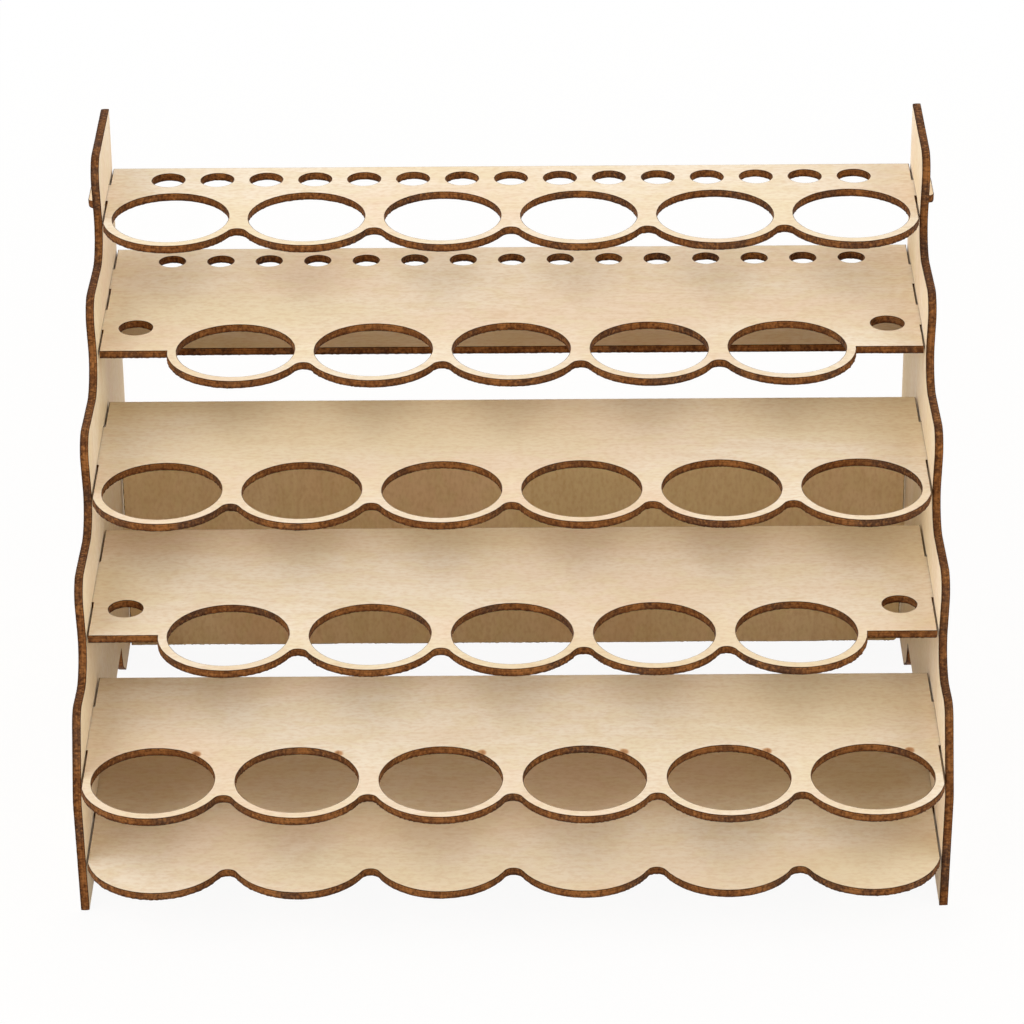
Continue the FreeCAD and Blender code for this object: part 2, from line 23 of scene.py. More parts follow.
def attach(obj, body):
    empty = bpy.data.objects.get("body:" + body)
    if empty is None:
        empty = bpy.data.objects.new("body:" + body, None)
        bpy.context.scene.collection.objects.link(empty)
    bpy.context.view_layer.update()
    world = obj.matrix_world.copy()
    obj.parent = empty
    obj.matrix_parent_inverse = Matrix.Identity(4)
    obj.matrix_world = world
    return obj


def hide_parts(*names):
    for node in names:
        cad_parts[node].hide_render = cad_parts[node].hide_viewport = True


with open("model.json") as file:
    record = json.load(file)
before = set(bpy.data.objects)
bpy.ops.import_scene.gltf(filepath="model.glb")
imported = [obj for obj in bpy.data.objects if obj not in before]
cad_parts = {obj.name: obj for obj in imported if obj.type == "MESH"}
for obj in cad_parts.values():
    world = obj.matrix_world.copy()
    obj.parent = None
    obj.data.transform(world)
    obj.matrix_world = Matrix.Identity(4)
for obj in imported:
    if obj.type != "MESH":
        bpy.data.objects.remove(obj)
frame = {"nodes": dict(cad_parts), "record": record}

LOG = logging.getLogger("organizer")
MM = 0.001
WHITE = (1.0, 1.0, 1.0, 1.0)
Colour = tuple[float, float, float, float]
Place = tuple[float, float, float]


def linear(colour: str) -> Colour:
    """Turns an sRGB hex colour into linear values, by the curve of the sRGB standard.

    Args:
        colour: Six hex digits.

    Returns:
        Red, green and blue from 0 to 1, and an alpha of 1.
    """
    parts = [int(colour[place:place + 2], 16) / 255 for place in (0, 2, 4)]
    red, green, blue = [
        part / 12.92 if part <= 0.04045 else ((part + 0.055) / 1.055) ** 2.4 for part in parts
    ]
    return red, green, blue, 1.0


def add_node(
    tree: NodeTree, kind: str, inputs: Sequence[Any] | Mapping[Any, Any] = (), **settings: Any
) -> NodeSocket | None:
    """Adds a node with its settings, fixed values and links.

    Args:
        tree: Where the node goes.
        kind: The node's type name without "ShaderNode".
        inputs: What each input takes, in order or by name or number: a socket or a fixed value.
        **settings: Attributes of the node, such as its operation.

    Returns:
        Its first output in use, if it has one. The node itself is that socket's node.
    """
    node = tree.nodes.new("ShaderNode" + kind)
    for name, value in settings.items():
        setattr(node, name, value)
    named = inputs if isinstance(inputs, Mapping) else dict(enumerate(inputs))
    for name, value in named.items():
        if isinstance(value, NodeSocket):
            tree.links.new(value, node.inputs[name])
        else:
            node.inputs[name].default_value = value
    return next((output for output in node.outputs if output.enabled), None)


def new_material(name: str) -> tuple[Material, NodeTree, Node]:
    """Makes a node material with its shader.

    Args:
        name: The material's name.

    Returns:
        The material, its node tree and its Principled shader, linked to the output.
    """
    material = bpy.data.materials.new(name)
    material.use_nodes = True
    tree = material.node_tree
    tree.nodes.clear()
    surface = add_node(tree, "BsdfPrincipled")
    add_node(tree, "OutputMaterial", {"Surface": surface})
    return material, tree, surface.node


class Axis(Enum):
    """A direction of the rack, with the turn that lays it along X."""

    ACROSS = (0.0, 0.0, 0.0)
    BACK = (0.0, 0.0, -math.pi / 2)
    UP = (0.0, math.pi / 2, 0.0)


class PlySlot(Enum):
    """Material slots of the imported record, one for each kind of sheet."""

    PANEL = "panel_plywood"
    SHELF = "shelf_plywood"
    BACK = "back_plywood"


@dataclass(frozen=True)
class Streaks:
    """A noise of streaks or spots.

    Attributes:
        long_mm: Their length along the X of a wood space.
        wide_mm: Their width.
        detail: Octaves of finer noise.
        wander: How far they bend.
    """

    long_mm: float
    wide_mm: float
    detail: float = 2.0
    wander: float = 0.0


@dataclass(frozen=True)
class Fade:
    """A soft step from nothing to a strength, between two values of a noise or of a measure.

    Attributes:
        start: Value at which it begins.
        end: Value at which it is full. It may be the lower one.
        most: Strength where it is full.
    """

    start: float
    end: float
    most: float


Layer = tuple[Streaks, Fade]


@dataclass(frozen=True)
class WoodSpace:
    """Coordinates of one board in millimetres, with X along its grain.

    Attributes:
        tree: The node tree that holds them.
        place: Socket of the coordinates.
    """

    tree: NodeTree
    place: NodeSocket

    @staticmethod
    def lay(tree: NodeTree, along: Axis, shift_mm: Place) -> "WoodSpace":
        """Adds the coordinates to a tree.

        Args:
            tree: The node tree.
            along: Direction that becomes X.
            shift_mm: Where on its sheet the board was cut.

        Returns:
            The space.
        """
        source = add_node(tree, "TexCoord").node.outputs["Object"]
        scale = (1 / MM, 1 / MM, 1 / MM)
        return WoodSpace(tree, add_node(tree, "Mapping", (source, shift_mm, along.value, scale)))

    def noise(self, look: Streaks) -> NodeSocket:
        """Adds a noise.

        Args:
            look: Its streaks or spots.

        Returns:
            Socket of the noise, from 0 to 1 about a half.
        """
        size = {"Vector": self.place, "Scale": (look.long_mm, look.wide_mm, look.wide_mm)}
        stretched = add_node(self.tree, "Mapping", size, vector_type="TEXTURE")
        grain = {"Scale": 1.0, "Detail": look.detail, "Distortion": look.wander}
        return add_node(self.tree, "TexNoise", {"Vector": stretched} | grain)

    def stain(
        self, ground: NodeSocket | Colour, colour: str, *masks: NodeSocket | tuple[NodeSocket, Fade]
    ) -> NodeSocket:
        """Lays a colour over the ground, as strongly as its masks multiplied.

        Args:
            ground: Colour below.
            colour: Colour above, in sRGB hex.
            *masks: Sockets, most of them with the fade that turns them into patches.

        Returns:
            Socket of the colour.
        """
        share = None
        for mask in masks:
            if isinstance(mask, tuple):
                value, fade = mask
                levels = (value, fade.start, fade.end, 0.0, fade.most)
                mask = add_node(self.tree, "MapRange", levels, interpolation_type="SMOOTHSTEP")
            if share is not None:
                mask = add_node(self.tree, "Math", (share, mask), operation="MULTIPLY")
            share = mask
        layers = {0: share, 6: ground, 7: linear(colour)}
        return add_node(self.tree, "Mix", layers, data_type="RGBA")


@dataclass(frozen=True)
class DryWood:
    """Dull sheen and shallow relief of bare wood, both taken from its fine noises.

    Attributes:
        roughness: Roughness where the main noise is low and where it is high.
        specular: Specular level.
        bump: Strength of the relief.
        relief_mm: Height of the relief.
        span: Low and high value of the main noise.
        ior: Index of refraction of wood's cell walls.
    """

    roughness: tuple[float, float]
    specular: float
    bump: float
    relief_mm: float
    span: tuple[float, float] = (0.3, 0.7)
    ior: float = 1.45

    def finish(
        self, shader: Node, colour: NodeSocket, main: NodeSocket, second: NodeSocket
    ) -> None:
        """Dresses a shader.

        Args:
            shader: The Principled shader.
            colour: Socket of the wood's colour.
            main: Noise that the roughness follows.
            second: Noise that is added to it for the relief.
        """
        tree = shader.id_data
        relief = add_node(tree, "Math", (main, second), operation="ADD")
        bump = {"Strength": self.bump, "Distance": self.relief_mm * MM, "Height": relief}
        linked = {
            "Base Color": colour,
            "Roughness": add_node(tree, "MapRange", (main, *self.span, *self.roughness)),
            "Normal": add_node(tree, "Bump", bump),
        }
        for name, socket in linked.items():
            tree.links.new(socket, shader.inputs[name])
        shader.inputs["IOR"].default_value = self.ior
        shader.inputs["Specular IOR Level"].default_value = self.specular


@dataclass(frozen=True)
class PierceMarks:
    """Scorched spots at the rims of a row of holes, where the laser went in or stopped.

    Attributes:
        first_mm: Middle of the row's first hole.
        pitch_mm: Distance between holes.
        radius_mm: How far from a hole's middle they lie.
        size_mm: Length and width of a spot.
        turns: Where on the rim the spots lie, in degrees from the right towards the back.
        solid: How much of a spot's radius is fully dark.
        strength: How dark the darkest spot is.
        least: How dark the palest is, as a share of that.
    """

    first_mm: tuple[float, float]
    pitch_mm: float
    radius_mm: float = 18.2
    size_mm: tuple[float, float] = (2.0, 2.4)
    turns: tuple[float, ...] = (51.0,)
    solid: float = 0.2
    strength: float = 0.9
    least: float = 0.35

    def add(self, tree: NodeTree) -> NodeSocket:
        """Adds the spots to a tree.

        A spot is round in coordinates that repeat with the pitch and are shrunk by its size.

        Args:
            tree: The node tree.

        Returns:
            Socket of the spots' strength.
        """
        source = add_node(tree, "TexCoord").node.outputs["Object"]
        place = add_node(tree, "VectorMath", {0: source, "Scale": 1 / MM}, operation="SCALE")
        across = add_node(tree, "SeparateXYZ", (place,))
        back = across.node.outputs["Y"]
        spots = None
        for turn in self.turns:
            x = self.first_mm[0] + self.radius_mm * math.cos(math.radians(turn))
            y = self.first_mm[1] + self.radius_mm * math.sin(math.radians(turn))
            shifted = add_node(tree, "Math", (across, x), operation="SUBTRACT")
            ends = (shifted, self.pitch_mm / 2, -self.pitch_mm / 2)
            wrapped = add_node(tree, "Math", ends, operation="WRAP")
            wide = add_node(tree, "Math", (wrapped, self.size_mm[0]), operation="DIVIDE")
            level = add_node(tree, "Math", (back, y), operation="SUBTRACT")
            deep = add_node(tree, "Math", (level, self.size_mm[1]), operation="DIVIDE")
            offset = add_node(tree, "CombineXYZ", (wide, deep))
            far = add_node(tree, "VectorMath", (offset,), operation="LENGTH").node.outputs["Value"]
            levels = (far, 1.0, self.solid, 0.0, self.strength)
            spot = add_node(tree, "MapRange", levels, interpolation_type="SMOOTHSTEP")
            # The darkness is drawn anew from the middle of one spot to that of the next
            stretch = add_node(tree, "Math", (shifted, self.pitch_mm), operation="SNAP")
            chance = add_node(tree, "TexWhiteNoise", {"W": stretch}, noise_dimensions="1D")
            dark = add_node(tree, "MapRange", (chance, 0.0, 1.0, self.least, 1.0))
            spot = add_node(tree, "Math", (spot, dark), operation="MULTIPLY")
            if spots is not None:
                spot = add_node(tree, "Math", (spots, spot), operation="ADD")
            spots = spot
        return spots


@dataclass(frozen=True)
class BasswoodVeneer:
    """Rotary-peeled basswood veneer, sanded and left bare.

    Peeling gives the eye a pale, even sheet that drifts between a pinkish and a straw cream,
    with faint flame lines. Sanding leaves short fine dashes of fibre, a dull sheen and hardly any
    relief.

    Attributes:
        name: The material's name.
        cream: Colour of most of the sheet.
        rose: Colour that it drifts towards in places a few centimetres across.
        straw: Another such colour.
        late: Colour of the late wood in flame lines, blotches and fibres.
        smoke: Colour of the haze beside a cut.
        scorch: Colour of a scorched spot.
        rose_drift: Where the sheet is rose.
        straw_drift: Where it is straw.
        late_drift: Where it is darker all over.
        rings: Slow noise whose level lines are the flame lines.
        ring_turn: Turn of their sine wave over the noise's whole range, in radians.
        flame_line: How that wave becomes lines.
        flamed: Where the lines show.
        blotches: Blotches of late wood.
        sunny: Blotches of straw.
        bands: Long soft bands.
        fibres: Dashes of fibre, drawn about three times as coarse as real ones so that they show.
        flecks: Flecks of cut pores.
        haze: Smoke near the cut. The measure is 0 at the cut and 1 where the face is clean.
        hazy: Where there is smoke along the cut.
        burnt_line: Scorched line at the cut, by the same measure.
        burnt: Where there is such a line.
        spot_smoke: Smoke round a scorched spot, by the spot's strength.
        spot_scorch: Scorch in its middle.
        surface: Sheen and relief.
    """

    name: str
    cream: str = "F2E6D1"
    rose: str = "EED9C0"
    straw: str = "ECDEBC"
    late: str = "D6B68B"
    smoke: str = "BC7F3F"
    scorch: str = "7A441A"
    rose_drift: Layer = (Streaks(80.0, 34.0, 1.0), Fade(0.4, 0.66, 0.8))
    straw_drift: Layer = (Streaks(110.0, 42.0, 1.0), Fade(0.46, 0.7, 0.8))
    late_drift: Layer = (Streaks(95.0, 50.0, 1.0), Fade(0.42, 0.7, 0.18))
    rings: Streaks = Streaks(150.0, 36.0, 1.5, 0.5)
    ring_turn: float = 70.0
    flame_line: Fade = Fade(-0.4, 1.0, 1.0)
    flamed: Layer = (Streaks(60.0, 24.0, 1.0), Fade(0.44, 0.68, 0.16))
    blotches: Layer = (Streaks(10.0, 6.0), Fade(0.4, 0.7, 0.14))
    sunny: Layer = (Streaks(10.0, 6.0, 1.0, 0.6), Fade(0.42, 0.66, 0.45))
    bands: Layer = (Streaks(26.0, 1.6, 2.0, 0.3), Fade(0.45, 0.75, 0.16))
    fibres: Layer = (Streaks(2.0, 1.1), Fade(0.38, 0.74, 0.34))
    flecks: Layer = (Streaks(1.2, 0.5, 1.0), Fade(0.6, 0.8, 0.08))
    haze: Fade = Fade(1.0, 0.0, 1.0)
    hazy: Layer = (Streaks(6.0, 6.0), Fade(0.5, 0.72, 0.5))
    burnt_line: Fade = Fade(0.8, 0.4, 1.0)
    burnt: Layer = (Streaks(9.0, 9.0), Fade(0.3, 0.7, 0.6))
    spot_smoke: Fade = Fade(0.0, 0.4, 0.8)
    spot_scorch: Fade = Fade(0.25, 0.9, 0.9)
    surface: DryWood = DryWood((0.56, 0.7), specular=0.3, bump=0.3, relief_mm=0.03)

    def build(self, grain: Axis, shift_mm: Place, marks: PierceMarks | None) -> Material:
        """Builds the material for one board.

        Args:
            grain: Direction of the fibres.
            shift_mm: Where on its sheet the board was cut.
            marks: Scorched spots of its holes, if it has any.

        Returns:
            The material.
        """
        material, tree, shader = new_material(self.name)
        wood = WoodSpace.lay(tree, grain, shift_mm)
        colour = linear(self.cream)
        for tone, (look, fade) in (
            (self.rose, self.rose_drift),
            (self.straw, self.straw_drift),
            (self.late, self.late_drift),
        ):
            colour = wood.stain(colour, tone, (wood.noise(look), fade))
        # Flame lines are the level lines of a slow noise, where the knife met the growth rings
        turned = (wood.noise(self.rings), self.ring_turn)
        wave = add_node(tree, "Math", turned, operation="MULTIPLY")
        lines = (add_node(tree, "Math", (wave,), operation="SINE"), self.flame_line)
        look, fade = self.flamed
        colour = wood.stain(colour, self.late, lines, (wood.noise(look), fade))
        for tone, (look, fade) in (
            (self.late, self.blotches),
            (self.straw, self.sunny),
            (self.late, self.bands),
        ):
            colour = wood.stain(colour, tone, (wood.noise(look), fade))
        fibres, flecks = wood.noise(self.fibres[0]), wood.noise(self.flecks[0])
        colour = wood.stain(colour, self.late, (fibres, self.fibres[1]))
        colour = wood.stain(colour, self.smoke, (flecks, self.flecks[1]))
        rim = add_node(tree, "Attribute", attribute_name="rim").node.outputs["Fac"]
        for tone, near, (look, fade) in (
            (self.smoke, self.haze, self.hazy),
            (self.scorch, self.burnt_line, self.burnt),
        ):
            colour = wood.stain(colour, tone, (rim, near), (wood.noise(look), fade))
        if marks:
            spots = marks.add(tree)
            colour = wood.stain(colour, self.smoke, (spots, self.spot_smoke))
            colour = wood.stain(colour, self.scorch, (spots, self.spot_scorch))
        self.surface.finish(shader, colour, fibres, flecks)
        return material


@dataclass(frozen=True)
class LaserCutEdge:
    """Cut wall of basswood plywood, burnt by the laser that cut it.

    The burn gives the eye a brown, finely mottled wall that turns amber or ashen over a few
    centimetres. It is darker where the cut crosses the fibres, whose ends char deeper; on the tiers
    these are the walls that face sideways, and there the darkening is painted shade as well. It is
    darker along two glue lines, and black along both arrises, raggedly so on the lower one. Soot
    makes it duller than the faces.

    Attributes:
        name: The material's name.
        brown: Usual colour of the burn.
        amber: Colour of its lighter places.
        char: Colour of the arrises and of cut fibre ends.
        ash: Colour of the places where the laser dwelt.
        dwelt: Where the laser dwelt.
        lighter: Where it was quick.
        fibre_end_char_and_shade: Char where the cut crosses the fibres, by the sine of its angle to
        them. On the tiers these are the walls that face sideways, so it is painted shade there too.
        mottles: Mottles of the burn, their length being through the board.
        pale_mottles: Amber in some of them.
        dark_mottles: Char in the others.
        pulses: Lines of the laser's pulses, drawn coarser than real ones so that they show.
        ragged: Noise that makes the dark lines ragged.
        core: Thickness of the middle ply as a share of the board's.
        glue: Char along the glue lines at both sides of that ply, by the distance from them.
        upper: Char of the upper arris, by the depth, which is 0 there and 1 at the lower face.
        upper_ragged: How far the noise moves that depth.
        lower: Char of the lower arris, by the depth.
        lower_ragged: How far the noise moves that one.
        surface: Sheen and relief.
    """

    name: str
    brown: str = "7C4D27"
    amber: str = "AC733E"
    char: str = "311A0B"
    ash: str = "523D30"
    dwelt: Layer = (Streaks(60.0, 16.0, 1.0), Fade(0.48, 0.66, 0.75))
    lighter: Layer = (Streaks(30.0, 7.0, 1.0), Fade(0.48, 0.68, 0.5))
    fibre_end_char_and_shade: Fade = Fade(0.3, 1.0, 0.5)
    mottles: Streaks = Streaks(1.0, 0.8)
    pale_mottles: Fade = Fade(0.5, 0.72, 0.6)
    dark_mottles: Fade = Fade(0.5, 0.3, 0.62)
    pulses: Layer = (Streaks(6.0, 0.7, 1.0), Fade(0.52, 0.76, 0.3))
    ragged: Streaks = Streaks(1.6, 1.2)
    core: float = 0.36
    glue: Fade = Fade(0.09, 0.02, 0.6)
    upper: Fade = Fade(0.07, -0.03, 0.8)
    upper_ragged: float = -0.12
    lower: Fade = Fade(0.94, 1.14, 0.8)
    lower_ragged: float = 0.5
    surface: DryWood = DryWood((0.82, 0.66), specular=0.12, bump=0.5, relief_mm=0.08)

    def build(self, through: Axis, shift_mm: Place) -> Material:
        """Builds the material for one board.

        Args:
            through: Direction of the board's thickness.
            shift_mm: Where the pattern starts, so that no two boards match.

        Returns:
            The material.
        """
        material, tree, shader = new_material(self.name)
        wood = WoodSpace.lay(tree, through, shift_mm)
        ends, depth = (
            add_node(tree, "Attribute", attribute_name=name).node.outputs["Fac"]
            for name in ("fibre_end_char_and_shade", "depth")
        )
        colour = linear(self.brown)
        for tone, (look, fade) in ((self.ash, self.dwelt), (self.amber, self.lighter)):
            colour = wood.stain(colour, tone, (wood.noise(look), fade))
        mottles, pulses = wood.noise(self.mottles), wood.noise(self.pulses[0])
        # Fibre ends char darker; on the tiers they face sideways, so this is also painted shade
        colour = wood.stain(colour, self.char, (ends, self.fibre_end_char_and_shade))
        colour = wood.stain(colour, self.amber, (mottles, self.pale_mottles))
        colour = wood.stain(colour, self.char, (mottles, self.dark_mottles))
        colour = wood.stain(colour, self.char, (pulses, self.pulses[1]))
        # A glue line lies half the core's thickness above or below the middle of the board
        ragged = wood.noise(self.ragged)
        middle = add_node(tree, "Math", (depth, 0.5), operation="SUBTRACT")
        aside = add_node(tree, "Math", (middle,), operation="ABSOLUTE")
        from_glue = add_node(tree, "Math", (aside, self.core / 2), operation="SUBTRACT")
        near_glue = add_node(tree, "Math", (from_glue,), operation="ABSOLUTE")
        colour = wood.stain(colour, self.char, (near_glue, self.glue), ragged)
        for fade, moved in ((self.upper, self.upper_ragged), (self.lower, self.lower_ragged)):
            arris = add_node(tree, "Math", (ragged, moved, depth), operation="MULTIPLY_ADD")
            colour = wood.stain(colour, self.char, (arris, fade))
        self.surface.finish(shader, colour, mottles, pulses)
        return material


def smooth_noise(points: np.ndarray, length: float, seed: int, waves: int = 16) -> np.ndarray:
    """Sum of sine waves in seeded directions and phases, all of one wave length.

    Args:
        points: Points in space.
        length: The wave length.
        seed: Seed of the directions and phases.
        waves: How many waves are added.

    Returns:
        A value for each point, about 0 and mostly between -1.5 and 1.5.
    """
    source = np.random.default_rng(seed)
    ways = source.normal(size=(waves, 3))
    ways *= 2 * math.pi / (length * np.linalg.norm(ways, axis=1)[:, None])
    phases = source.uniform(0, 2 * math.pi, waves)
    return np.sin(points @ ways.T + phases).sum(axis=1) / math.sqrt(waves / 2)


def read_arrays(mesh: Mesh) -> tuple[np.ndarray, np.ndarray]:
    """Reads a mesh's points and its triangles, both as rows of three.

    Args:
        mesh: The mesh.

    Returns:
        Places of the points, and numbers of each triangle's points.
    """
    mesh.calc_loop_triangles()
    places = np.empty(3 * len(mesh.vertices))
    mesh.vertices.foreach_get("co", places)
    triangles = np.empty(3 * len(mesh.loop_triangles), dtype=np.int64)
    mesh.loop_triangles.foreach_get("vertices", triangles)
    return places.reshape(-1, 3), triangles.reshape(-1, 3)


def upper_rim(
    places: np.ndarray, triangles: np.ndarray, through: int
) -> tuple[np.ndarray, np.ndarray]:
    """Finds the edges round a board's upper face, which belong to one of its triangles only.

    Args:
        places: Points of the board's mesh.
        triangles: Its triangles.
        through: Number of the axis along the board's thickness.

    Returns:
        Points of the plane, and rows of two of their numbers with wood on the left.
    """
    touching = 1e-6
    upper = np.all(places[:, through].max() - places[triangles][:, :, through] < touching, axis=1)
    plane = places[:, [(through + 1) % 3, (through + 2) % 3]]
    keys = np.round(plane / touching).astype(np.int64)
    _, first, number = np.unique(keys, axis=0, return_index=True, return_inverse=True)
    flat = plane[first]
    face = number.reshape(-1)[triangles[upper]]
    edges = np.concatenate([face[:, [0, 1]], face[:, [1, 2]], face[:, [2, 0]]])
    codes = edges[:, 0] * len(flat) + edges[:, 1]
    return flat, edges[~np.isin(codes, edges[:, 1] * len(flat) + edges[:, 0])]


def hermite(
    here: np.ndarray, there: np.ndarray, leaving: np.ndarray, arriving: np.ndarray, t: np.ndarray
) -> tuple[np.ndarray, np.ndarray]:
    """Points of Hermite cubics, as sums of the four Hermite polynomials, and their derivatives.

    Args:
        here: Start of each point's cubic.
        there: Its end.
        leaving: Its derivative at the start.
        arriving: Its derivative at the end.
        t: How far along it the point lies, from 0 to 1, as a column.

    Returns:
        The points, and the directions there with a length of 1.
    """
    points = here + (there - here) * (3 * t**2 - 2 * t**3) + (t**3 - 2 * t**2 + t) * leaving
    points += (t**3 - t**2) * arriving
    along = 6 * (t - t**2) * (there - here) + (3 * t**2 - 4 * t + 1) * leaving
    along += (3 * t**2 - 2 * t) * arriving
    return points, along / np.linalg.norm(along, axis=1)[:, None]


@dataclass
class CutOutline:
    """Closed outlines of a flat board, read from its CAD node and drawn with finer points.

    Attributes:
        through: Number of the axis along the board's thickness.
        lowest: Lowest corner of the board.
        highest: Highest corner.
        points: Points of all loops in the plane. Wood lies on the left of the way to the next.
        normals: Outward directions, longer at a corner, where they keep the inset even.
        following: Number of the next point of each.
    """

    through: int
    lowest: np.ndarray
    highest: np.ndarray
    points: np.ndarray
    normals: np.ndarray
    following: np.ndarray

    @property
    def in_plane(self) -> list[int]:
        """Numbers of the two axes of the plane, in an order that keeps it right-handed."""
        return [(self.through + 1) % 3, (self.through + 2) % 3]

    @staticmethod
    def of_node(name: str, step: float, corner: float) -> "CutOutline":
        """Reads a node's outline.

        The outline is the edges of the upper face that belong to one triangle only. Each edge is
        redrawn as a Hermite cubic between its ends, with the outline's direction there, so arcs
        are round again and straight edges stay straight. An edge is cut into equal parts, none
        shorter than the step.

        Args:
            name: The CAD node.
            step: Shortest distance between new points.
            corner: Turn, in radians, past which a point is a corner.

        Returns:
            The outline.
        """
        places, triangles = read_arrays(frame["nodes"][name].data)
        lowest, highest = places.min(axis=0), places.max(axis=0)
        through = int(np.argmin(highest - lowest))
        flat, edges = upper_rim(places, triangles, through)
        # From here on an outline point has the number of the edge that starts at it
        starting = np.full(len(flat), -1)
        starting[edges[:, 0]] = np.arange(len(edges))
        following = starting[edges[:, 1]]
        leading = np.empty_like(following)
        leading[following] = np.arange(len(following))
        start = flat[edges[:, 0]]
        way = start[following] - start
        length = np.linalg.norm(way, axis=1)
        way /= length[:, None]
        way_in, length_in = way[leading], length[leading]
        cosine = np.clip(np.sum(way_in * way, axis=1), -1, 1)
        smooth = (np.arccos(cosine) < corner)[:, None]
        # Where an arc runs into a straight edge, the much longer edge gives the direction
        much = 2
        between = way_in + way
        between /= np.linalg.norm(between, axis=1)[:, None]
        longer_out, longer_in = (length > much * length_in), (length_in > much * length)
        tangent = np.where(longer_in[:, None], way_in, between)
        tangent = np.where(longer_out[:, None], way, tangent)
        leaving = np.where(smooth, tangent, way)
        arriving = np.where(smooth, tangent, way_in)[following]
        count = np.maximum(1, np.floor(length / step)).astype(np.int64)
        begin = np.cumsum(count) - count
        edge = np.repeat(np.arange(len(count)), count)
        rank = np.arange(len(edge)) - begin[edge]
        t, reach = (rank / count[edge])[:, None], length[edge][:, None]
        pulls = leaving[edge] * reach, arriving[edge] * reach
        points, along = hermite(start[edge], start[following][edge], *pulls, t)
        normals = np.stack([along[:, 1], -along[:, 0]], axis=1)
        # At a corner the mitre is the sum of both normals over 1 plus their cosine, kept short
        least = 0.2
        turned = (rank == 0)[:, None] & ~smooth[edge]
        both = (way_in + way)[edge]
        mitre = np.stack([both[:, 1], -both[:, 0]], axis=1)
        mitre /= (1 + cosine[edge])[:, None].clip(min=least)
        normals = np.where(turned, mitre, normals)
        last = rank + 1 == count[edge]
        next_point = np.where(last, begin[following][edge], np.arange(len(edge)) + 1)
        return CutOutline(through, lowest, highest, points, normals, next_point)

    def lift(self, flat: np.ndarray, depth: np.ndarray) -> np.ndarray:
        """Puts points of the plane at depths below the upper face.

        Args:
            flat: Points of the plane.
            depth: Their depth as a share of the thickness.

        Returns:
            Points in space, none outside the board's box.
        """
        placed = np.empty((len(flat), 3))
        placed[:, self.in_plane] = flat
        thickness = self.highest[self.through] - self.lowest[self.through]
        placed[:, self.through] = self.highest[self.through] - depth * thickness
        return np.clip(placed, self.lowest, self.highest)

    def fill(self, rim: np.ndarray) -> np.ndarray:
        """Fills the plane between the loops with triangles.

        A triangle whose three points lie on one loop that runs clockwise fills a hole and goes. A
        loop runs clockwise where the sum of the cross products of its neighbours is negative.

        Args:
            rim: Points of the loops, which may lie inside the outline.

        Returns:
            Rows of three point numbers, counter-clockwise.
        """
        inside, closest = 1, 1e-7
        edges = list(zip(range(len(rim)), self.following.tolist()))
        places = [Vector(point) for point in (rim / MM).tolist()]
        result = delaunay_2d_cdt(places, edges, [], inside, closest)
        triangles = np.array([source[0] for source in result[3]])[np.array(result[2])]
        # A loop's label is its lowest number, found in leaps of 1, 2, 4 and so on along it
        loop, leap = np.arange(len(rim)), self.following
        for _ in range(math.ceil(math.log2(len(rim)))):
            loop, leap = np.minimum(loop, loop[leap]), leap[leap]
        ahead = rim[self.following]
        area = np.bincount(loop, rim[:, 0] * ahead[:, 1] - rim[:, 1] * ahead[:, 0])
        clockwise = (area[loop] < 0)[triangles].all(axis=1)
        triangles = triangles[~(clockwise & (np.ptp(loop[triangles], axis=1) == 0))]
        corner = rim[triangles]
        first, second = corner[:, 1] - corner[:, 0], corner[:, 2] - corner[:, 0]
        facing = first[:, 0] * second[:, 1] - first[:, 1] * second[:, 0]
        return np.where(facing[:, None] > 0, triangles, triangles[:, ::-1])


@dataclass(frozen=True)
class CutWear:
    """How far the cut has eaten into a wall.

    Attributes:
        ripple: How far the wall wanders on average.
        ripple_length: Length of a ripple.
        ripple_swing: How much the ripple differs from place to place, as a share.
        crumble: How far the lower edge has crumbled at most.
        crumb_length: Length of a crumb.
        crumb_swing: How much crumbs differ, as a share.
        stretch: Length over which crumbling comes and goes.
        least: Where it has gone, how much of it is left.
        begins: Depth at which it begins, as a share of the thickness.
        spare: How much of the rim's band is always left, in radii of the arris.
        crumb_seed: What the seed of the crumbs is more than that of the ripple.
        stretch_seed: The same for how crumbling comes and goes.
    """

    ripple: float = 0.03 * MM
    ripple_length: float = 2.3 * MM
    ripple_swing: float = 0.6
    crumble: float = 0.22 * MM
    crumb_length: float = 1.1 * MM
    crumb_swing: float = 0.8
    stretch: float = 34 * MM
    least: float = 0.15
    begins: float = 0.6
    spare: float = 1.2
    crumb_seed: int = 100
    stretch_seed: int = 200

    def eaten(self, points: np.ndarray, depths: np.ndarray, seed: int) -> np.ndarray:
        """Works out the loss: a fine ripple all over and, towards the lower face, crumbs.

        The crumbs grow with the square of the way from where they begin to the lower face.

        Args:
            points: Points of the wall.
            depths: Their depths as shares of the thickness.
            seed: Seed of the ripple.

        Returns:
            A distance for each point.
        """
        fine = 1 + self.ripple_swing * smooth_noise(points, self.ripple_length, seed)
        crumbs = smooth_noise(points, self.crumb_length, seed + self.crumb_seed)
        crumbs = 1 + self.crumb_swing * crumbs
        places = 0.5 + 0.5 * smooth_noise(points, self.stretch, seed + self.stretch_seed)
        lower = ((depths - self.begins) / (1 - self.begins)).clip(0, 1) ** 2
        return self.ripple * fine + self.crumble * lower * places.clip(self.least, 1) * crumbs


